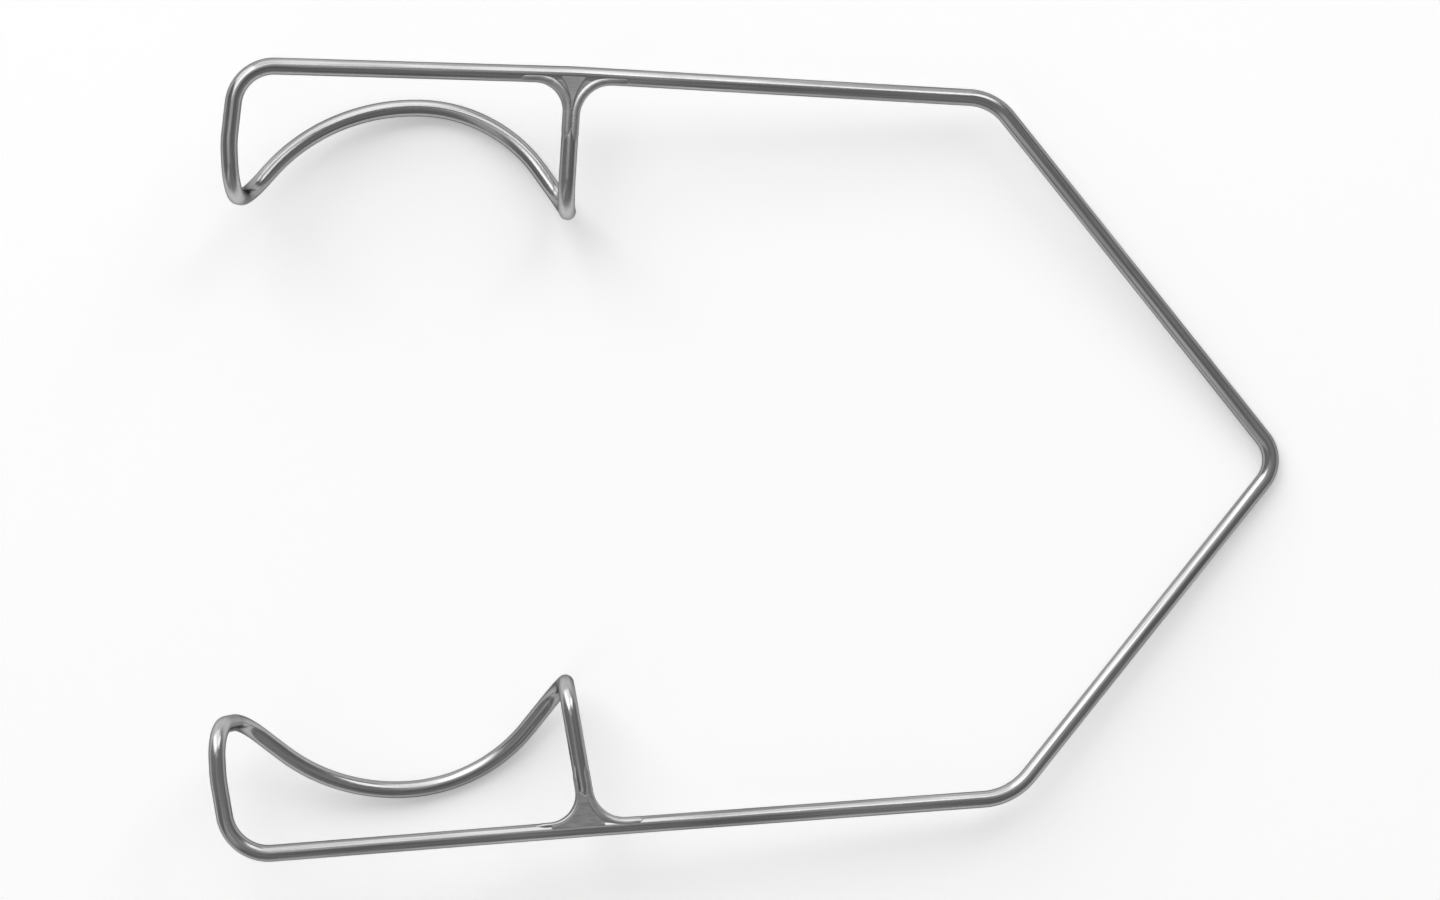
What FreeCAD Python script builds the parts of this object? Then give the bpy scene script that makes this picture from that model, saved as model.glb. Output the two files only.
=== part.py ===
"""Wire eye speculum: one spring wire bent to a bow, with an open lid hook on each arm.

The wire is laid out flat in the plane of the bow first. The apex corner is at (0, 0), the long
axis runs along X with the blades on the -X side, and Z points up out of that plane. Each lid hook
folds down out of it. At the end the whole part is set down on its apex and its two hooks.
Lengths are in millimetres and angles in degrees.
"""
import FreeCAD
import Part
import math
import os

# The wire
wire_diameter = 0.70

# The bow: two legs that meet at the apex
leg_angle = 51.0
apex_bend_radius = 1.45
upper_leg_length = 19.3
lower_leg_length = 18.05
upper_shoulder_radius = 2.2
lower_shoulder_radius = 2.7

# The arms, from the shoulder to the joint, spread from the long axis by these angles
upper_arm_length = 17.55
lower_arm_length = 17.64
upper_arm_spread = 2.9
lower_arm_spread = 3.8

# The back of each blade, from the joint to the free corner, and its kink at the joint
upper_back_length = 13.86
lower_back_length = 14.86
upper_back_spread = 1.3
lower_back_spread = 4.1
kink_radius = 15.0
upper_corner_radius = 1.7
lower_corner_radius = 1.85

# The side wires: how far they reach in to the lid margin, and how far they splay towards the
# free end on the way
upper_free_reach = 5.34
lower_free_reach = 5.37
upper_joint_reach = 5.6
lower_joint_reach = 6.0
upper_free_splay = 0.13
lower_free_splay = 0.27
upper_joint_splay = 0.22
lower_joint_splay = 0.6

# The free side wire bows outwards a little
upper_side_bow = 0.21
lower_side_bow = 0.15
side_bow_radius = 5.0
side_bow_place = 0.6

# The fold under the lid margin: the bend down, the bend that turns out again below the lid, and
# how far the wire shifts sideways on its way down
fold_radius = 1.35
return_radius = 1.8
fold_straight = 0.3
upper_free_shift = 0.8
lower_free_shift = 1.26
upper_joint_shift = 0.49
lower_joint_shift = 0.26

# The arc that follows the eyeball under the lid: its crown, its fall below the folds, and the
# angle of its two flanks
upper_crown_along = 5.9
lower_crown_along = 6.96
upper_crown_reach = 1.34
lower_crown_reach = 1.94
arc_fall = 1.45
upper_free_flank = 51.3
lower_free_flank = 43.5
upper_joint_flank = 56.3
lower_joint_flank = 50.6

# Each end of the wire stops short of its arm's centre line, inside the brazed joint
wire_end_gap = 0.1

# The web of the brazed joint, dressed flat, with a concave fillet in each of its two corners
free_fillet_radius = 1.15
apex_fillet_radius = 1.35
web_thickness = 0.66
web_edge_break = 0.2
web_inset = 0.03

# Straights shorter than this are left out between two bends
shortest_straight = 1e-4

wire_radius = wire_diameter / 2
hook_depth = 2 * fold_radius + fold_straight
up = FreeCAD.Vector(0, 0, 1)


def heading(angle):
    """Unit vector in the plane of the bow, at an angle from the +X axis."""
    return FreeCAD.Vector(math.cos(math.radians(angle)), math.sin(math.radians(angle)), 0)


def unit(vector):
    """Copy of a vector at length one."""
    return vector * (1 / vector.Length)


def centre_line(bends):
    """Straights and tangent arcs through a list of (corner, bend radius) pairs.

    The first and last pairs are the ends of the wire, and their radii are not used.
    """
    edges = []
    start = bends[0][0]
    for before, bend, after in zip(bends, bends[1:], bends[2:]):
        corner, radius = bend
        arriving = unit(corner - before[0])
        leaving = unit(after[0] - corner)
        turn = arriving.getAngle(leaving)
        setback = radius * math.tan(turn / 2)
        rise = radius * (1 / math.cos(turn / 2) - 1)
        arc_start = corner - arriving * setback
        arc_middle = corner + unit(leaving - arriving) * rise
        arc_end = corner + leaving * setback
        if (arc_start - start).Length > shortest_straight:
            edges.append(Part.makeLine(start, arc_start))
        edges.append(Part.Arc(arc_start, arc_middle, arc_end).toShape())
        start = arc_end
    edges.append(Part.makeLine(start, bends[-1][0]))
    return edges


def round_bar(edges):
    """The wire's round section swept along a run of edges."""
    path = Part.Wire(edges)
    start = edges[0].valueAt(edges[0].FirstParameter)
    tangent = edges[0].tangentAt(edges[0].FirstParameter)
    section = Part.Face(Part.Wire(Part.makeCircle(wire_radius, start, tangent)))
    return path.makePipe(section)


def arc_bend(along, inwards, flank):
    """Corner distance and bend radius of one half of the arc, measured from its crown.

    The flank leaves its fold, which lies this far along the blade and inwards, at the flank
    angle. The bend is tangent to the flank and to the blade's back direction at the crown.
    """
    corner_distance = along - inwards / math.tan(math.radians(flank))
    radius = corner_distance / math.tan(math.radians(flank) / 2)
    return corner_distance, radius


class Side:
    """One half of the part, laid out from the apex to its joint, arm and blade."""

    def __init__(self, sign, leg_length, arm_length, arm_spread, back_length, back_spread):
        self.shoulder = heading(180 - sign * leg_angle) * leg_length
        self.along_arm = heading(180 - sign * arm_spread)
        self.joint = self.shoulder + self.along_arm * arm_length
        self.along_back = heading(180 - sign * back_spread)
        self.inwards = self.along_back.cross(up) * -sign
        self.back_length = back_length

    def place(self, along, inwards, depth):
        """Point measured from the joint: along the blade's back, inwards, and down."""
        return self.joint + self.along_back * along + self.inwards * inwards - up * depth

    def lay_hook(self, corner_radius, free_reach, joint_reach, free_splay, joint_splay, side_bow,
                 free_shift, joint_shift, crown_along, crown_reach, free_flank, joint_flank):
        """Bends of the lid hook, from the joint's end of the wire to the free corner."""
        mean_reach = (free_reach + joint_reach) / 2
        slope = math.atan2(arc_fall, mean_reach - crown_reach)

        def on_slope(along, down_slope):
            """Point in the sloping plane of the arc, measured from the crown."""
            return self.place(crown_along + along,
                              crown_reach + down_slope * math.cos(slope),
                              hook_depth + arc_fall - down_slope * math.sin(slope))

        free_fold = (self.back_length + free_splay - free_shift - crown_along,
                     (free_reach - crown_reach) / math.cos(slope))
        joint_fold = (joint_splay - joint_shift - crown_along,
                      (joint_reach - crown_reach) / math.cos(slope))
        free_corner, free_radius = arc_bend(free_fold[0], free_fold[1], free_flank)
        joint_corner, joint_radius = arc_bend(-joint_fold[0], joint_fold[1], joint_flank)
        self.crown = on_slope(0, 0)
        side_wire_foot = self.place(joint_splay, joint_reach, 0)
        self.along_wire = unit(side_wire_foot - self.joint)
        self.hook = [
            (self.joint + self.along_wire * wire_end_gap, 0),
            (side_wire_foot, fold_radius),
            (on_slope(*joint_fold), return_radius),
            (on_slope(-joint_corner, 0), joint_radius),
            (on_slope(free_corner, 0), free_radius),
            (on_slope(*free_fold), return_radius),
            (self.place(self.back_length + free_splay, free_reach, 0), fold_radius),
            (self.place(self.back_length + free_splay * side_bow_place + side_bow,
                        free_reach * side_bow_place, 0), side_bow_radius),
            (self.place(self.back_length, 0, 0), corner_radius),
            (self.joint, kink_radius),
        ]


def web_fillet(side, along_arm, fillet_radius):
    """One concave arc of the web, and the point of the arm's centre line beside its start.

    The arc is tangent to the arm and to the wire a little inside their surfaces.
    """
    centre_offset = fillet_radius + wire_radius - web_inset
    half_angle = along_arm.getAngle(side.along_wire) / 2
    bisector = unit(along_arm + side.along_wire)
    setback = centre_offset / math.tan(half_angle)
    centre = side.joint + bisector * (centre_offset / math.sin(half_angle))
    arm_foot = side.joint + along_arm * setback
    wire_foot = side.joint + side.along_wire * setback
    on_arm = centre + unit(arm_foot - centre) * fillet_radius
    deepest = centre - bisector * fillet_radius
    on_wire = centre + unit(wire_foot - centre) * fillet_radius
    return arm_foot, on_arm, on_wire, Part.Arc(on_arm, deepest, on_wire).toShape()


def joint_web(side):
    """Brazed web where the wire's end meets its own arm, with its two concave edges broken."""
    free_foot, free_on_arm, free_on_wire, free_arc = web_fillet(
        side, side.along_back, free_fillet_radius)
    apex_foot, apex_on_arm, apex_on_wire, apex_arc = web_fillet(
        side, side.along_arm * -1, apex_fillet_radius)
    outline = Part.Wire([
        Part.makeLine(apex_foot, free_foot),
        Part.makeLine(free_foot, free_on_arm),
        free_arc,
        Part.makeLine(free_on_wire, apex_on_wire),
        apex_arc,
        Part.makeLine(apex_on_arm, apex_foot),
    ])
    outline.translate(up * (-web_thickness / 2))
    plate = Part.Face(outline).extrude(up * web_thickness)
    concave_edges = [edge for edge in plate.Edges if isinstance(edge.Curve, Part.Circle)]
    return plate.makeChamfer(web_edge_break, concave_edges)


def set_down(shape, low_points):
    """Turn the part so that its three low points are level, and centre it on the ground."""
    first, second, third = low_points
    normal = (second - first).cross(third - first)
    turned = shape.copy()
    turned.rotate(FreeCAD.Vector(0, 0, 0), normal.cross(up), math.degrees(normal.getAngle(up)))
    box = turned.optimalBoundingBox()
    turned.translate(FreeCAD.Vector(-box.Center.x, -box.Center.y, -box.ZMin))
    return turned


def build_wire():
    """The whole speculum as one solid."""
    upper = Side(1, upper_leg_length, upper_arm_length, upper_arm_spread,
                 upper_back_length, upper_back_spread)
    lower = Side(-1, lower_leg_length, lower_arm_length, lower_arm_spread,
                 lower_back_length, lower_back_spread)
    upper.lay_hook(upper_corner_radius, upper_free_reach, upper_joint_reach,
                   upper_free_splay, upper_joint_splay, upper_side_bow,
                   upper_free_shift, upper_joint_shift, upper_crown_along, upper_crown_reach,
                   upper_free_flank, upper_joint_flank)
    lower.lay_hook(lower_corner_radius, lower_free_reach, lower_joint_reach,
                   lower_free_splay, lower_joint_splay, lower_side_bow,
                   lower_free_shift, lower_joint_shift, lower_crown_along, lower_crown_reach,
                   lower_free_flank, lower_joint_flank)
    apex = FreeCAD.Vector(0, 0, 0)
    bends = (upper.hook
             + [(upper.shoulder, upper_shoulder_radius),
                (apex, apex_bend_radius),
                (lower.shoulder, lower_shoulder_radius)]
             + lower.hook[::-1])
    edges = centre_line(bends)
    long_run = round_bar(edges[1:-1])
    ends = [round_bar(edges[:1]), round_bar(edges[-1:])]
    wire = long_run.fuse(ends + [joint_web(upper), joint_web(lower)]).removeSplitter()
    apex_set_in = apex_bend_radius * (1 / math.sin(math.radians(leg_angle)) - 1)
    apex_bottom = FreeCAD.Vector(-apex_set_in, 0, 0)
    return set_down(wire, [upper.crown, lower.crown, apex_bottom])


os.makedirs("parts", exist_ok=True)
speculum_wire = build_wire()
speculum_wire.exportStep("parts/speculum_wire.step")
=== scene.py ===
"""Wire eye speculum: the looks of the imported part.

The drawn wire, bent ring by ring round its bend table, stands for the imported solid, and the two
brazed joints lie on it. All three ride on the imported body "root". The bend table is in millimetres
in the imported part's own frame, and every mesh is in metres.
"""

import math

import bmesh
import bpy
from mathutils import Matrix, Vector


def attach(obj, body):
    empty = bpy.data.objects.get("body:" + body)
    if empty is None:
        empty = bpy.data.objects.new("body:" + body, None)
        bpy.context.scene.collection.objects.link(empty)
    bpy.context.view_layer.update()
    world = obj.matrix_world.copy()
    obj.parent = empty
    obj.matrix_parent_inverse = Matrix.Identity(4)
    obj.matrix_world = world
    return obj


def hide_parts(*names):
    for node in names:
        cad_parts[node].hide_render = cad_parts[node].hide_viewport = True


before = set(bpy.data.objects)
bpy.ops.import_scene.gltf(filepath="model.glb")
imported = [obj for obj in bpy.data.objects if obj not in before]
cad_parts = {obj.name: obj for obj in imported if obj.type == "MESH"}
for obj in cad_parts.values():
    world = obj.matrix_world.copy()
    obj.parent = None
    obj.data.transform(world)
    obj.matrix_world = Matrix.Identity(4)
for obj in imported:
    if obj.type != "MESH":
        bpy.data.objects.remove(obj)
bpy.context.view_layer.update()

bl_info = {
    "name": "Wire eye speculum",
    "version": (1, 0, 0),
    "blender": (4, 5, 0),
    "location": "3D View > Sidebar > Speculum",
    "description": "Bends the wire, brazes its two joints and sets the studio",
    "category": "Object",
}

MM = 0.001
CAD_NODE = "speculum_wire"
BODY = "root"

# Vertex layers of the wire: the place along it and across its ring, and the share of the painted
# highlight on the outer sides of its folds
DRAWN = "drawn"
PAINTED_HIGHLIGHT = "painted_highlight"

# Corners of the wire's centre line and the radius of the bend at each, in millimetres, from the
# joint on the upper blade to the joint on the lower blade
BEND_TABLE = (
    # Upper blade: wire's end in the joint, fold under the lid, arc, fold, side wire, free corner
    (-7.226, 15.777, 4.164, 0.0),
    (-7.565, 10.283, 4.195, 1.35),
    (-7.447, 10.278, 1.203, 1.8),
    (-10.524, 14.608, 0.091, 5.904),
    (-17.519, 14.767, 0.97, 8.108),
    (-20.804, 10.842, 2.791, 1.8),
    (-21.218, 10.854, 5.912, 1.35),
    (-21.326, 12.993, 5.93, 5.0),
    (-20.968, 16.19, 5.891, 1.7),
    # Upper arm and leg: kink at the joint, shoulder, apex
    (-7.22, 15.877, 4.163, 15.0),
    (10.171, 14.991, 1.976, 2.2),
    (22.22, -0.006, 0.433, 1.45),
    # Lower leg and arm: shoulder, kink at the joint
    (10.948, -14.035, 1.822, 2.7),
    (-6.516, -15.206, 4.014, 15.0),
    # Lower blade: free corner, side wire, fold, arc, fold, wire's end in the joint
    (-21.222, -16.271, 5.86, 1.85),
    (-21.759, -13.079, 5.934, 5.0),
    (-21.87, -10.934, 5.952, 1.35),
    (-21.012, -10.837, 2.698, 1.8),
    (-17.099, -13.979, 0.862, 7.605),
    (-11.084, -13.543, 0.107, 6.439),
    (-7.636, -9.241, 1.266, 1.8),
    (-7.535, -9.265, 4.154, 1.35),
    (-6.533, -15.108, 4.017, 0.0),
)
# Rows of the bend table at which a wire's end meets its arm
UPPER_KINK = 9
LOWER_KINK = 13
# Row of the first of the two bends of each fold, and how strongly the fold's painted highlight shows
FOLD_HIGHLIGHT_SHARE = {1: 1.0, 5: 1.0, 16: 0.6, 20: 0.4}

# Rings in the dressed end of the wire, and in the end of a strand
TAPER_STEPS = 8
# The end of a strand: the share of it that stays full, how many of its half widths the rest sinks
# into the wire, and the size of each of its rings against the ring before
TAIL_FULL = 0.3
TAIL_SINK = 1.2
TAIL_SCALE = 0.93
# Turn of one ring in a fillet, and faces round a strand
FILLET_STEP = math.radians(5)
STRAND_SEGMENTS = 24
# A run shorter than this is left out
SHORTEST_RUN = 0.005 * MM

# The paper sweep: radius of its flat middle, radius and height of its raised rim, in metres, and
# steps round it
SWEEP_FLAT = 1.3
SWEEP_RIM = (1.5, 0.12)
SWEEP_STEPS = 96

# The soft boxes: name, azimuth and zenith angle in degrees, width and height in metres, and
# radiance. A mirror shows the radiance, where 1 is the white of the page.
BOX_DISTANCE = 0.8
SOFT_BOXES = (
    ("key_box", 126, 52, 0.40, 0.92, 1.89),
    ("north_box", 92, 56, 0.50, 0.85, 1.24),
    ("right_box", 57, 52, 0.25, 0.45, 2.05),
    ("top_box", 105, 14, 0.45, 0.40, 0.38),
    ("fill_box", 228, 45, 0.28, 0.85, 0.32),
)

# The camera looks straight down from this place, in metres. Lens and sensor are in millimetres.
CAMERA_PLACE = (-0.00118, 0.00040, 0.300)
CAMERA_LENS = 179.3
CAMERA_SENSOR = 36.0
CAMERA_CLIP = (0.01, 10.0)


def corner(index):
    """A corner of the bend table, in metres."""
    return Vector(BEND_TABLE[index][:3]) * MM


def length(name, description, millimetres):
    """A length that the sidebar shows in the scene's own unit."""
    return bpy.props.FloatProperty(name=name, description=description, default=millimetres * MM,
                                   min=0.0, unit="LENGTH", subtype="DISTANCE", precision=5)


def share(name, description, default):
    """A number from 0 to 1."""
    return bpy.props.FloatProperty(name=name, description=description, default=default,
                                   min=0.0, max=1.0, subtype="FACTOR")


def linear(hex_colour):
    """Linear RGBA of an sRGB hex colour."""
    channels = [int(hex_colour[i:i + 2], 16) / 255 for i in (1, 3, 5)]
    return tuple(c / 12.92 if c <= 0.04045 else ((c + 0.055) / 1.055) ** 2.4
                 for c in channels) + (1.0,)


def shade(base, times):
    """A colour made darker or lighter."""
    return [min(1.0, channel * times) for channel in base[:3]] + [1.0]


def colour(name, description, hex_colour):
    """A colour, given as sRGB hex."""
    return bpy.props.FloatVectorProperty(name=name, description=description, size=4,
                                         default=linear(hex_colour), min=0.0, max=1.0,
                                         subtype="COLOR")


class SPECULUM_PG_wire(bpy.types.PropertyGroup):
    """Sizes of the drawn wire."""
    diameter: length("Diameter", "Diameter of the spring wire", 0.70)
    segments: bpy.props.IntProperty(name="Segments", description="Faces round the wire",
                                    default=48, min=12, max=96)
    bend_step: bpy.props.FloatProperty(name="Bend step", description="Turn of one ring in a bend",
                                       default=math.radians(3), min=math.radians(1),
                                       unit="ROTATION", subtype="ANGLE")


class SPECULUM_PG_joint(bpy.types.PropertyGroup):
    """Sizes of the brazed joints."""
    free_fillet: length("Free fillet", "Fillet on the side of the blade's free end", 1.15)
    apex_fillet: length("Apex fillet", "Fillet on the side of the apex", 1.35)
    strand_width: length("Strand width", "Width of the rounded strand along a fillet", 0.44)
    edge_strand: length("Edge strand", "Width of the strand on the lower joint's free side", 0.15)
    strand_height: length("Strand height", "Height of the strand out of the bow's plane", 0.69)
    arm_tail: length("Arm tail", "How far a strand runs on along the arm", 1.5)
    wire_tail: length("Wire tail", "How far a strand runs on along the wire", 2.6)
    upper_web: length("Upper web", "Thickness of the upper web under the dressed flat", 0.54)
    lower_web: length("Lower web", "Thickness of the lower web under the dressed flat", 0.58)
    flat_thickness: length("Flat thickness", "Thickness over the dressed flats", 0.68)
    flat_slope: length("Flat slope", "Width of the slope round the flat", 0.05)
    flat_hollow: length("Flat hollow", "Radius of the flat's hollow sides", 2.2)
    upper_flat_width: length("Upper flat width", "Width of the upper flat at the arm", 1.25)
    upper_flat_length: length("Upper flat length", "Length of the upper flat", 1.5)
    lower_flat_width: length("Lower flat width", "Width of the lower flat at the arm", 1.55)
    lower_flat_length: length("Lower flat length", "Length of the lower flat", 1.35)
    wire_end: length("Wire end", "Diameter to which the wire's end is dressed down", 0.44)
    upper_end_run: length("Upper end run", "Length of the upper dressed end", 1.45)
    upper_end_taper: length("Upper end taper", "Length over which the upper end grows full", 1.1)
    lower_end_run: length("Lower end run", "Length of the lower dressed end", 0.95)
    lower_end_taper: length("Lower end taper", "Length over which the lower end grows full", 0.7)


class SPECULUM_PG_steel(bpy.types.PropertyGroup):
    """Finish of the steel."""
    colour: colour("Colour", "Colour of the polished steel", "#A6A6A6")
    edge: colour("Edge", "Reflection at a grazing angle", "#808080")
    roughness: share("Roughness", "Roughness of the drawn and polished surface", 0.21)
    line_pitch: length("Line pitch", "Distance between two drawing lines", 0.09)
    # Painted highlight: the outer sides of the folds are painted this paler colour in place of the
    # shine that falls there
    fold: colour("Fold", "Colour of the folds, polished again after bending", "#D8D8D8")
    fold_roughness: share("Fold roughness", "Roughness of the folds", 0.42)


class SPECULUM_PG_studio(bpy.types.PropertyGroup):
    """The studio's paper and light."""
    paper: colour("Paper", "Colour of the paper sweep", "#F7F7F7")
    paper_fill: share("Paper fill", "Brightness added to the paper where it is seen", 0.215)
    sky: share("Sky", "Brightness of the dim room", 0.30)


def add_node(tree, kind, inputs=(), links=(), **settings):
    """A node with its settings, input values and links from other nodes' outputs."""
    node = tree.nodes.new(kind)
    for name, value in settings.items():
        setattr(node, name, value)
    for name, value in dict(inputs).items():
        node.inputs[name].default_value = value
    for name, output in dict(links).items():
        tree.links.new(output, node.inputs[name])
    return node


def new_material(name):
    """An empty node material and its tree."""
    material = bpy.data.materials.new(name)
    material.use_nodes = True
    material.node_tree.nodes.clear()
    return material, material.node_tree


def drawn_stainless_steel(steel):
    """Stainless spring wire, drawn through a die and electropolished.

    The eye sees long soft streaks along the wire, because the die leaves fine lines that the
    electropolishing only softens, and small dull and bright stretches where it was bent by hand. The
    outer sides of the folds at the lid margin carry a painted highlight: they are painted paler and
    made more satin, to stand for the shine that falls there.
    """
    material, tree = new_material("drawn_stainless_steel")
    place = add_node(tree, "ShaderNodeAttribute", attribute_name=DRAWN)
    # The die's lines are a few hundredths of a millimetre apart. They are drawn coarser, so that
    # they show, and about 80 times as long as they are wide.
    across = 1 / steel.line_pitch
    stretch = add_node(tree, "ShaderNodeMapping",
                       inputs={"Scale": (across / 80, across, across)},
                       links={"Vector": place.outputs["Vector"]})
    lines = add_node(tree, "ShaderNodeTexNoise",
                     inputs={"Scale": 1.0, "Detail": 3.0, "Roughness": 0.6},
                     links={"Vector": stretch.outputs["Vector"]})
    # Dull and bright stretches, about 3 mm long
    wear = add_node(tree, "ShaderNodeTexNoise",
                    inputs={"Scale": 1 / (3 * MM), "Detail": 2.0},
                    links={"Vector": place.outputs["Vector"]})
    both = add_node(tree, "ShaderNodeMath", operation="ADD",
                    links={0: lines.outputs["Fac"], 1: wear.outputs["Fac"]})
    # The sum of the two noises lies mostly between 0.7 and 1.3
    gloss = add_node(tree, "ShaderNodeMapRange",
                     inputs={"From Min": 0.7, "From Max": 1.3,
                             "To Min": steel.roughness * 0.8, "To Max": steel.roughness * 1.25},
                     links={"Value": both.outputs["Value"]})
    streaks = add_node(tree, "ShaderNodeMapRange", inputs={"From Min": 0.35, "From Max": 0.65},
                       links={"Value": lines.outputs["Fac"]})
    tint = add_node(tree, "ShaderNodeMix", data_type="RGBA",
                    inputs={6: shade(steel.colour, 0.72), 7: shade(steel.colour, 1.25)},
                    links={0: streaks.outputs["Result"]})
    bump = add_node(tree, "ShaderNodeBump",
                    inputs={"Strength": 0.35, "Distance": 0.008 * MM},
                    links={"Height": lines.outputs["Fac"]})
    # The folds' painted highlight: their outer sides are painted the paler fold colour and get the
    # rougher fold gloss
    fold = add_node(tree, "ShaderNodeAttribute", attribute_name=PAINTED_HIGHLIGHT)
    tint = add_node(tree, "ShaderNodeMix", data_type="RGBA", inputs={7: steel.fold},
                    links={0: fold.outputs["Fac"], 6: tint.outputs[2]})
    gloss = add_node(tree, "ShaderNodeMix", data_type="FLOAT", inputs={3: steel.fold_roughness},
                     links={0: fold.outputs["Fac"], 2: gloss.outputs["Result"]})
    steel_shader = add_node(tree, "ShaderNodeBsdfPrincipled",
                            inputs={"Metallic": 1.0, "Specular Tint": steel.edge},
                            links={"Base Color": tint.outputs[2],
                                   "Roughness": gloss.outputs[0],
                                   "Normal": bump.outputs["Normal"]})
    add_node(tree, "ShaderNodeOutputMaterial", links={"Surface": steel_shader.outputs["BSDF"]})
    return material


def dressed_braze(steel):
    """High-nickel braze, filed and stoned flush with the wire.

    The eye sees the wire's own grey, a little duller, with short fine scratches in it.
    """
    material, tree = new_material("dressed_braze")
    place = add_node(tree, "ShaderNodeTexCoord")
    # Stone scratches are about 0.02 mm wide, drawn at 0.07 mm so that they show
    stretch = add_node(tree, "ShaderNodeMapping",
                       inputs={"Scale": (1 / (0.5 * MM), 1 / (0.07 * MM), 1 / (0.07 * MM)),
                               "Rotation": (0.0, 0.0, math.radians(20))},
                       links={"Vector": place.outputs["Object"]})
    scratches = add_node(tree, "ShaderNodeTexNoise",
                         inputs={"Scale": 1.0, "Detail": 2.0, "Roughness": 0.5},
                         links={"Vector": stretch.outputs["Vector"]})
    gloss = add_node(tree, "ShaderNodeMapRange",
                     inputs={"From Min": 0.3, "From Max": 0.7,
                             "To Min": steel.roughness * 1.4, "To Max": steel.roughness * 2.2},
                     links={"Value": scratches.outputs["Fac"]})
    tint = add_node(tree, "ShaderNodeMix", data_type="RGBA",
                    inputs={6: shade(steel.colour, 0.9), 7: shade(steel.colour, 1.3)},
                    links={0: scratches.outputs["Fac"]})
    bump = add_node(tree, "ShaderNodeBump",
                    inputs={"Strength": 0.3, "Distance": 0.004 * MM},
                    links={"Height": scratches.outputs["Fac"]})
    braze = add_node(tree, "ShaderNodeBsdfPrincipled",
                     inputs={"Metallic": 1.0, "Specular Tint": steel.edge},
                     links={"Base Color": tint.outputs[2],
                            "Roughness": gloss.outputs["Result"],
                            "Normal": bump.outputs["Normal"]})
    add_node(tree, "ShaderNodeOutputMaterial", links={"Surface": braze.outputs["BSDF"]})
    return material


def matte_paper(studio):
    """Matte white background paper.

    The eye sees an even white with the object's faint shadow on it. Where the paper is seen, in
    a view or in the metal, a fill brings it up to the white of the page.
    """
    material, tree = new_material("matte_paper")
    place = add_node(tree, "ShaderNodeTexCoord")
    # Paper fibres are about 1 mm long
    fibres = add_node(tree, "ShaderNodeTexNoise",
                      inputs={"Scale": 1 / (1 * MM), "Detail": 2.0},
                      links={"Vector": place.outputs["Object"]})
    bump = add_node(tree, "ShaderNodeBump", inputs={"Strength": 0.05, "Distance": 0.01 * MM},
                    links={"Height": fibres.outputs["Fac"]})
    paper = add_node(tree, "ShaderNodeBsdfPrincipled",
                     inputs={"Base Color": studio.paper, "Roughness": 0.95,
                             "Specular IOR Level": 0.1},
                     links={"Normal": bump.outputs["Normal"]})
    ray = add_node(tree, "ShaderNodeLightPath")
    seen = add_node(tree, "ShaderNodeMath", operation="MAXIMUM",
                    links={0: ray.outputs["Is Camera Ray"], 1: ray.outputs["Is Glossy Ray"]})
    seen = add_node(tree, "ShaderNodeMath", operation="MAXIMUM",
                    links={0: seen.outputs["Value"], 1: ray.outputs["Is Transmission Ray"]})
    fill = add_node(tree, "ShaderNodeMath", operation="MULTIPLY",
                    inputs={1: studio.paper_fill}, links={0: seen.outputs["Value"]})
    glow = add_node(tree, "ShaderNodeEmission", links={"Strength": fill.outputs["Value"]})
    lit = add_node(tree, "ShaderNodeAddShader",
                   links={0: paper.outputs["BSDF"], 1: glow.outputs["Emission"]})
    add_node(tree, "ShaderNodeOutputMaterial", links={"Surface": lit.outputs["Shader"]})
    return material


def verts_of(geometry):
    """The vertices in the geometry that an operator gives back."""
    return [part for part in geometry if isinstance(part, bmesh.types.BMVert)]


def edges_of(geometry):
    """The edges in the geometry that an operator gives back."""
    return [part for part in geometry if isinstance(part, bmesh.types.BMEdge)]


def section(bm, centre, direction, upright, radius, segments, drawn=None):
    """A ring of round section, square to a direction, with one of its faces on top.

    The drawn layer takes each vertex's place across the ring.
    """
    ring = bmesh.ops.create_circle(bm, cap_ends=False, segments=segments, radius=radius)["verts"]
    if drawn:
        for vert in ring:
            vert[drawn] = Vector((0.0, vert.co.x, vert.co.y))
    top = (upright - direction * upright.dot(direction)).normalized()
    turn = Matrix((top, direction.cross(top), direction)).transposed().to_4x4()
    half_step = Matrix.Rotation(math.pi / segments, 4, "Z")
    bmesh.ops.transform(bm, matrix=Matrix.Translation(centre) @ turn @ half_step, verts=ring)
    return ring + list({edge for vert in ring for edge in vert.link_edges})


def run_straight(bm, ring, run, drawn=None):
    """Extrude a ring along a straight run, and add its length to the drawn layer."""
    grown = bmesh.ops.extrude_edge_only(bm, edges=edges_of(ring))["geom"]
    ring = verts_of(grown)
    bmesh.ops.translate(bm, verts=ring, vec=run)
    if drawn:
        for vert in ring:
            vert[drawn].x += run.length
    rim = set(ring)
    return ring + [edge for edge in edges_of(grown) if rim.issuperset(edge.verts)]


def run_taper(bm, ring, start, runs, scales, drawn=None):
    """Extrude a ring run by run, and scale it about its new middle after each."""
    at = start
    for run, scale in zip(runs, scales):
        at = at + run
        ring = run_straight(bm, ring, run, drawn)
        bmesh.ops.scale(bm, vec=(scale,) * 3, space=Matrix.Translation(-at), verts=verts_of(ring))
    return ring, at


def ease(number, count):
    """A share that starts and ends softly, for one step of several."""
    part = number / count
    return part * part * (3 - 2 * part)


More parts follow.
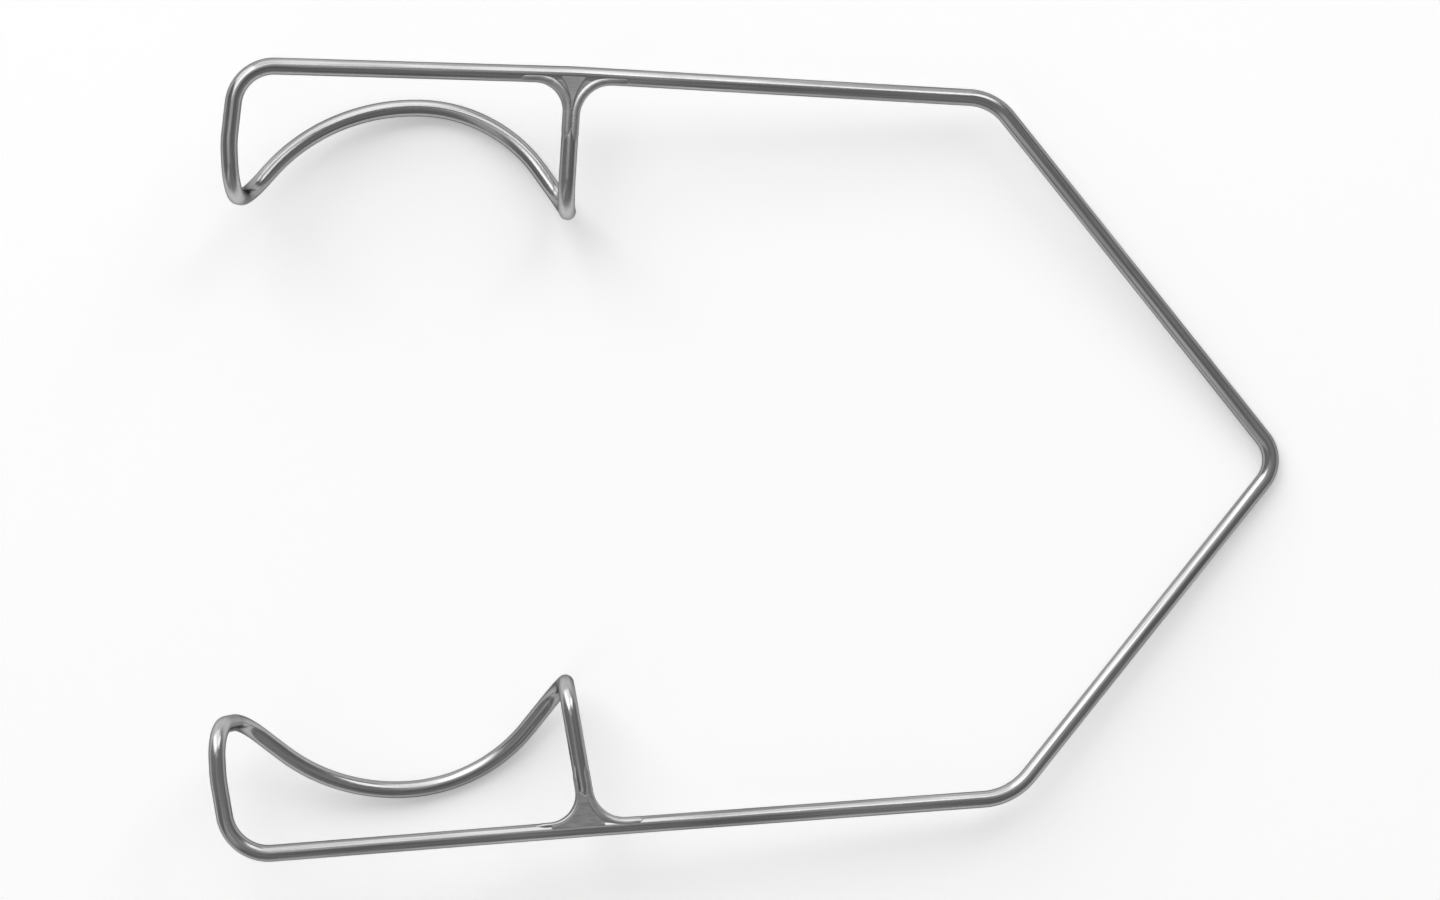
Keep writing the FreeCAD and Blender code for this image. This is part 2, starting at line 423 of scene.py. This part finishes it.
def run_bend(bm, ring, centre, axis, angle, steps, radius=0.0, drawn=None, fold_highlight=None):
    """Spin a ring round a bend, step by step, so that each ring knows how far along it is.

    The fold highlight is its layer, its values before and after the bend, and the wire's radius.
    This painted highlight lies on the outer side of the bend.
    """
    for number in range(1, steps + 1):
        grown = bmesh.ops.spin(bm, geom=ring, cent=centre, axis=axis, angle=angle / steps,
                               steps=1, use_merge=False, use_duplicate=False)["geom_last"]
        for vert in verts_of(grown):
            if drawn:
                vert[drawn].x += radius * angle / steps
            if fold_highlight:
                layer, before, after, wire_radius = fold_highlight
                spoke = vert.co - centre
                proud = (spoke - axis * spoke.dot(axis)).length - radius
                outer = min(max(0.5 + 0.5 * proud / wire_radius, 0.0), 1.0)
                vert[layer] = (before + (after - before) * ease(number, steps)) * ease(outer, 1)
        ring = grown
    return ring


def cap(bm, ring):
    """Close an open end with one flat face."""
    return bmesh.ops.contextual_create(bm, geom=edges_of(ring))["faces"]


def finish_mesh(bm, name, flat_faces, material):
    """Turn a bmesh into a piece that rides on the body, smooth but for its flat faces."""
    for face in bm.faces:
        face.smooth = True
    for face in flat_faces:
        face.smooth = False
    bmesh.ops.recalc_face_normals(bm, faces=bm.faces)
    mesh = bpy.data.meshes.new(name)
    bm.to_mesh(mesh)
    bm.free()
    piece = bpy.data.objects.new(name, mesh)
    bpy.context.scene.collection.objects.link(piece)
    mesh.materials.append(material)
    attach(piece, BODY)
    return piece


def wire_radii(wire, joint_settings):
    """Radii of the wire's end, from inside the joint out to the full wire."""
    thin, full = joint_settings.wire_end / 2, wire.diameter / 2
    return [thin + (full - thin) * ease(number, TAPER_STEPS) for number in range(TAPER_STEPS + 1)]


def bend_wire(wire, joint_settings):
    """The whole wire as one tube, bent round the bend table, with its ends dressed down."""
    bm = bmesh.new()
    drawn = bm.verts.layers.float_vector.new(DRAWN)
    # Layer for the folds' painted highlight
    painted_highlight = bm.verts.layers.float.new(PAINTED_HIGHLIGHT)
    corners = [corner(index) for index in range(len(BEND_TABLE))]
    radii = [row[3] * MM for row in BEND_TABLE]
    widths = wire_radii(wire, joint_settings)
    grow = [after / before for before, after in zip(widths, widths[1:])]
    shrink = [1 / scale for scale in reversed(grow)]

    heading = (corners[1] - corners[0]).normalized()
    ring = section(bm, corners[0], heading, Vector((0, 0, 1)), widths[0], wire.segments, drawn)
    ends = list(cap(bm, ring))
    ring = run_straight(bm, ring, heading * joint_settings.upper_end_run, drawn)
    step = heading * (joint_settings.upper_end_taper / TAPER_STEPS)
    ring, at = run_taper(bm, ring, corners[0] + heading * joint_settings.upper_end_run,
                         [step] * TAPER_STEPS, grow, drawn)
    for index in range(1, len(corners) - 1):
        before, here, after = corners[index - 1:index + 2]
        radius = radii[index]
        arriving = (here - before).normalized()
        leaving = (after - here).normalized()
        angle = arriving.angle(leaving)
        setback = radius * math.tan(angle / 2)
        start = here - arriving * setback
        if (start - at).length > SHORTEST_RUN:
            ring = run_straight(bm, ring, start - at, drawn)
        else:
            # The bend starts where the last one ended, but for the table's rounding
            bmesh.ops.translate(bm, verts=verts_of(ring), vec=start - at)
        axis = arriving.cross(leaving).normalized()
        centre = start + axis.cross(arriving) * radius
        steps = max(2, math.ceil(angle / wire.bend_step))
        # The fold's painted highlight, eased in and out over the bend
        fold_highlight = (painted_highlight, FOLD_HIGHLIGHT_SHARE.get(index - 1, 0.0), FOLD_HIGHLIGHT_SHARE.get(index, 0.0),
                  wire.diameter / 2)
        ring = run_bend(bm, ring, centre, axis, angle, steps, radius, drawn, fold_highlight)
        at = here + leaving * setback

    heading = (corners[-1] - corners[-2]).normalized()
    taper = joint_settings.lower_end_taper
    taper_start = corners[-1] - heading * (joint_settings.lower_end_run + taper)
    ring = run_straight(bm, ring, taper_start - at, drawn)
    step = heading * (taper / TAPER_STEPS)
    ring, at = run_taper(bm, ring, taper_start, [step] * TAPER_STEPS, shrink, drawn)
    ring = run_straight(bm, ring, heading * joint_settings.lower_end_run, drawn)
    ends += cap(bm, ring)
    return bm, ends


class Fillet:
    """Where one concave fillet of a joint lies, between the arm and the wire's end."""

    def __init__(self, joint, along_arm, along_wire, radius, wire_radius):
        half_angle = along_arm.angle(along_wire) / 2
        bisector = (along_arm + along_wire).normalized()
        offset = radius + wire_radius
        setback = offset / math.tan(half_angle)
        self.radius = radius
        self.along_arm = along_arm
        self.along_wire = along_wire
        self.centre = joint + bisector * (offset / math.sin(half_angle))
        self.arm_foot = joint + along_arm * setback
        wire_foot = joint + along_wire * setback
        self.to_arm = (self.arm_foot - self.centre).normalized()
        self.to_wire = (wire_foot - self.centre).normalized()
        self.axis = self.to_arm.cross(self.to_wire).normalized()
        self.turn = self.to_arm.angle(self.to_wire)


def lay_strand(bm, fillet, up, sizes, width):
    """The rounded strand along one fillet, run on along the arm and along the wire.

    A narrow strand sinks into the wire sooner than a wide one.
    """
    half_width = width / 2
    middle_radius = fillet.radius + half_width
    rise = up * (sizes.strand_height / 2 - half_width)
    on_arm = fillet.centre + fillet.to_arm * middle_radius
    on_wire = fillet.centre + fillet.to_wire * middle_radius
    first = section(bm, on_arm, fillet.along_arm, up, half_width, STRAND_SEGMENTS)
    upper = [vert for vert in verts_of(first) if (vert.co - on_arm).dot(up) > 0]
    lower = [vert for vert in verts_of(first) if (vert.co - on_arm).dot(up) < 0]
    bmesh.ops.translate(bm, verts=upper, vec=rise)
    bmesh.ops.translate(bm, verts=lower, vec=-rise)
    last = run_bend(bm, first, fillet.centre, fillet.axis, fillet.turn,
                    math.ceil(fillet.turn / FILLET_STEP))
    ends = []
    for ring, start, along, inwards, full_tail in (
            (first, on_arm, fillet.along_arm, fillet.to_arm, sizes.arm_tail),
            (last, on_wire, fillet.along_wire, fillet.to_wire, sizes.wire_tail)):
        tail = full_tail * math.sqrt(width / sizes.strand_width)
        full = along * (tail * TAIL_FULL)
        ring = run_straight(bm, ring, full)
        sunk = [half_width * TAIL_SINK * ease(number, TAPER_STEPS)
                for number in range(TAPER_STEPS + 1)]
        runs = [along * (tail * (1 - TAIL_FULL) / TAPER_STEPS) + inwards * (after - before)
                for before, after in zip(sunk, sunk[1:])]
        ring, _ = run_taper(bm, ring, start + full, runs, [TAIL_SCALE] * TAPER_STEPS)
        ends += cap(bm, ring)
    return ends


def spin_chain(bm, start, end, centre):
    """A chain of edges from a new vertex at the start to the end, spun about a centre."""
    first, last = start - centre, end - centre
    seed = bm.verts.new(start)
    known = set(bm.edges)
    turn = first.angle(last)
    spun = bmesh.ops.spin(bm, geom=[seed], cent=centre, axis=first.cross(last).normalized(),
                          angle=turn, steps=max(3, math.ceil(turn / FILLET_STEP)),
                          use_merge=False, use_duplicate=False)["geom_last"]
    return seed, verts_of(spun)[0], [edge for edge in bm.edges if edge not in known]


def plate(bm, chains, thickness, up, slope):
    """A plate between two concave chains, closed at both ends, with sloping edges."""
    edges = [edge for chain in chains for edge in chain[2]]
    for one, other in ((chains[0][0], chains[1][0]), (chains[0][1], chains[1][1])):
        if (one.co - other.co).length > SHORTEST_RUN:
            edges.append(bm.edges.new((one, other)))
    known = set(bm.faces)
    faces = bmesh.ops.contextual_create(bm, geom=edges)["faces"]
    grown = bmesh.ops.extrude_face_region(bm, geom=faces, use_keep_orig=True)["geom"]
    bmesh.ops.translate(bm, verts=verts_of(grown), vec=up * thickness)
    if slope:
        # The two broad faces look along the plate's axis, and its walls don't
        broad = [face for face in bm.faces
                 if face not in known and abs(face.normal.dot(up)) > 0.9]
        rims = list({edge for face in broad for edge in face.edges})
        bmesh.ops.bevel(bm, geom=rims, offset=slope, segments=2, profile=0.5,
                        affect="EDGES", material=-1, clamp_overlap=True)
    return [face for face in bm.faces if face not in known]


def strand_chain(bm, fillet, strand, down):
    """A chain of edges from the arm's centre line along the middle of a strand."""
    radius = fillet.radius + strand / 2
    centre = fillet.centre + down
    first, last, edges = spin_chain(bm, centre + fillet.to_arm * radius,
                                    centre + fillet.to_wire * radius, centre)
    foot = bm.verts.new(fillet.arm_foot + down)
    return foot, last, edges + [bm.edges.new((foot, first))]


def lay_web(bm, fillets, up, strands, thickness):
    """The web from the middle of one strand to the other, and up to the arm's centre line."""
    down = up * (-thickness / 2)
    chains = [strand_chain(bm, fillet, strand, down) for fillet, strand in zip(fillets, strands)]
    return plate(bm, chains, thickness, up, 0)


def lay_flat(bm, joint, fillets, up, strands, sizes, width, run):
    """The dressed flat, a little proud of the web, which reaches a narrow strand's middle."""
    down = up * (-sizes.flat_thickness / 2)
    chains = []
    for fillet, strand in zip(fillets, strands):
        if strand < sizes.strand_width:
            chains.append(strand_chain(bm, fillet, strand, down))
            continue
        start = joint + fillet.along_arm * (width / 2) + down
        end = joint + fillet.along_wire * run + fillet.along_arm * sizes.flat_slope + down
        chord = end - start
        sag = math.sqrt(sizes.flat_hollow ** 2 - chord.length_squared / 4)
        outwards = up.cross(chord).normalized()
        outwards *= math.copysign(1, outwards.dot(fillet.centre - joint))
        chains.append(spin_chain(bm, start, end, (start + end) / 2 + outwards * sag))
    return plate(bm, chains, sizes.flat_thickness, up, sizes.flat_slope)


def braze_joint(sizes, wire, kink, sign, strands, web, flat):
    """One joint: a rounded strand along each fillet, and the web and its flat between them."""
    bm = bmesh.new()
    joint = corner(kink)
    along_back = (corner(kink - sign) - joint).normalized()
    along_arm = (corner(kink + sign) - joint).normalized()
    # The upper joint holds the first end of the bend table, and the lower joint the last
    end, fold = (0, 1) if sign > 0 else (-1, -2)
    along_wire = (corner(fold) - corner(end)).normalized()
    fillets = [Fillet(joint, along_back, along_wire, sizes.free_fillet, wire.diameter / 2),
               Fillet(joint, along_arm, along_wire, sizes.apex_fillet, wire.diameter / 2)]
    up = fillets[0].axis * math.copysign(1, fillets[0].axis.z)
    flat_faces = []
    for fillet, strand in zip(fillets, strands):
        flat_faces += lay_strand(bm, fillet, up, sizes, strand)
    flat_faces += lay_web(bm, fillets, up, strands, web)
    flat_faces += lay_flat(bm, joint, fillets, up, strands, sizes, *flat)
    return bm, flat_faces


class SPECULUM_OT_wire(bpy.types.Operator):
    """Bend the drawn wire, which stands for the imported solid"""
    bl_idname = "speculum.wire"
    bl_label = "Bend the wire"

    def execute(self, context):
        bm, ends = bend_wire(context.scene.speculum_wire, context.scene.speculum_joint)
        steel = drawn_stainless_steel(context.scene.speculum_steel)
        piece = finish_mesh(bm, "drawn_wire", ends, steel)
        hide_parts(CAD_NODE)
        return {"FINISHED"}


class SPECULUM_OT_joints(bpy.types.Operator):
    """Braze the two joints where the wire's ends meet its arms"""
    bl_idname = "speculum.joints"
    bl_label = "Braze the joints"

    def execute(self, context):
        braze = dressed_braze(context.scene.speculum_steel)
        sizes = context.scene.speculum_joint
        upper = ((sizes.strand_width, sizes.strand_width), sizes.upper_web,
                 (sizes.upper_flat_width, sizes.upper_flat_length))
        lower = ((sizes.edge_strand, sizes.strand_width), sizes.lower_web,
                 (sizes.lower_flat_width, sizes.lower_flat_length))
        for name, kink, sign, form in (("upper_joint", UPPER_KINK, 1, upper),
                                       ("lower_joint", LOWER_KINK, -1, lower)):
            bm, flat_faces = braze_joint(sizes, context.scene.speculum_wire, kink, sign, *form)
            finish_mesh(bm, name, flat_faces, braze)
        return {"FINISHED"}


def hang_box(name, azimuth, zenith, width, height, radiance):
    """A soft box, placed by its direction from the object, with its height towards the zenith.

    The renderer gives it a radiance of its power over four times its area.
    """
    lamp = bpy.data.lights.new(name, "AREA")
    lamp.shape = "RECTANGLE"
    lamp.size, lamp.size_y = width, height
    lamp.energy = radiance * 4 * width * height
    box = bpy.data.objects.new(name, lamp)
    bpy.context.scene.collection.objects.link(box)
    a, z = math.radians(azimuth), math.radians(zenith)
    box.location = Vector((math.cos(a) * math.sin(z), math.sin(a) * math.sin(z),
                           math.cos(z))) * BOX_DISTANCE
    box.rotation_euler = (-box.location).to_track_quat("-Z", "Y").to_euler()
    box.visible_camera = False


def lay_sweep(studio):
    """The paper: a flat disc with a raised rim, spun from one line."""
    bm = bmesh.new()
    rim_radius, rim_height = SWEEP_RIM
    middle = bm.verts.new((0, 0, 0))
    edge = bm.verts.new((SWEEP_FLAT, 0, 0))
    rim = bm.verts.new((rim_radius, 0, rim_height))
    bm.edges.new((middle, edge))
    bm.edges.new((edge, rim))
    bmesh.ops.spin(bm, geom=bm.verts[:] + bm.edges[:], cent=(0, 0, 0), axis=(0, 0, 1),
                   angle=math.tau, steps=SWEEP_STEPS, use_merge=True, use_duplicate=False)
    bmesh.ops.remove_doubles(bm, verts=bm.verts, dist=MM / 1000)
    bmesh.ops.recalc_face_normals(bm, faces=bm.faces)
    mesh = bpy.data.meshes.new("paper_sweep")
    bm.to_mesh(mesh)
    bm.free()
    mesh.materials.append(matte_paper(studio))
    floor = bpy.data.objects.new("paper_sweep", mesh)
    bpy.context.scene.collection.objects.link(floor)


def dim_room(studio):
    """An even, dim world round the stage."""
    world = bpy.data.worlds.new("dim_room")
    world.use_nodes = True
    sky = world.node_tree.nodes["Background"]
    sky.inputs["Color"].default_value = (1, 1, 1, 1)
    sky.inputs["Strength"].default_value = studio.sky
    bpy.context.scene.world = world


def set_camera():
    """The camera, which looks straight down."""
    lens = bpy.data.cameras.new("camera")
    lens.sensor_width = CAMERA_SENSOR
    lens.lens = CAMERA_LENS
    lens.clip_start, lens.clip_end = CAMERA_CLIP
    camera = bpy.data.objects.new("camera", lens)
    camera.location = CAMERA_PLACE
    bpy.context.scene.collection.objects.link(camera)
    bpy.context.scene.camera = camera


class SPECULUM_OT_stage(bpy.types.Operator):
    """Lay the paper sweep and set the lamps and the camera"""
    bl_idname = "speculum.stage"
    bl_label = "Set the stage"

    def execute(self, context):
        studio = context.scene.speculum_studio
        lay_sweep(studio)
        dim_room(studio)
        for box in SOFT_BOXES:
            hang_box(*box)
        set_camera()
        context.scene.view_settings.view_transform = "Standard"
        return {"FINISHED"}


class VIEW3D_PT_speculum(bpy.types.Panel):
    """Sizes, finishes and steps of the speculum"""
    bl_idname = "VIEW3D_PT_speculum"
    bl_label = "Wire eye speculum"
    bl_space_type = "VIEW_3D"
    bl_region_type = "UI"
    bl_category = "Speculum"

    def draw(self, context):
        for group in GROUPS:
            settings = getattr(context.scene, group)
            box = self.layout.box()
            for name in settings.__annotations__:
                box.prop(settings, name)
        for operator in OPERATORS:
            self.layout.operator(operator.bl_idname)


GROUPS = {
    "speculum_wire": SPECULUM_PG_wire,
    "speculum_joint": SPECULUM_PG_joint,
    "speculum_steel": SPECULUM_PG_steel,
    "speculum_studio": SPECULUM_PG_studio,
}
OPERATORS = (SPECULUM_OT_wire, SPECULUM_OT_joints, SPECULUM_OT_stage)


def register():
    """Add the groups of settings, the operators and the panel."""
    for name, group in GROUPS.items():
        bpy.utils.register_class(group)
        setattr(bpy.types.Scene, name, bpy.props.PointerProperty(type=group))
    for operator in OPERATORS:
        bpy.utils.register_class(operator)
    bpy.utils.register_class(VIEW3D_PT_speculum)


def unregister():
    """Take them out again."""
    bpy.utils.unregister_class(VIEW3D_PT_speculum)
    for operator in reversed(OPERATORS):
        bpy.utils.unregister_class(operator)
    for name, group in reversed(GROUPS.items()):
        delattr(bpy.types.Scene, name)
        bpy.utils.unregister_class(group)


def main():
    """Build the pieces and the stage."""
    register()
    bpy.ops.speculum.wire()
    bpy.ops.speculum.joints()
    bpy.ops.speculum.stage()


if __name__ == "__main__":
    main()
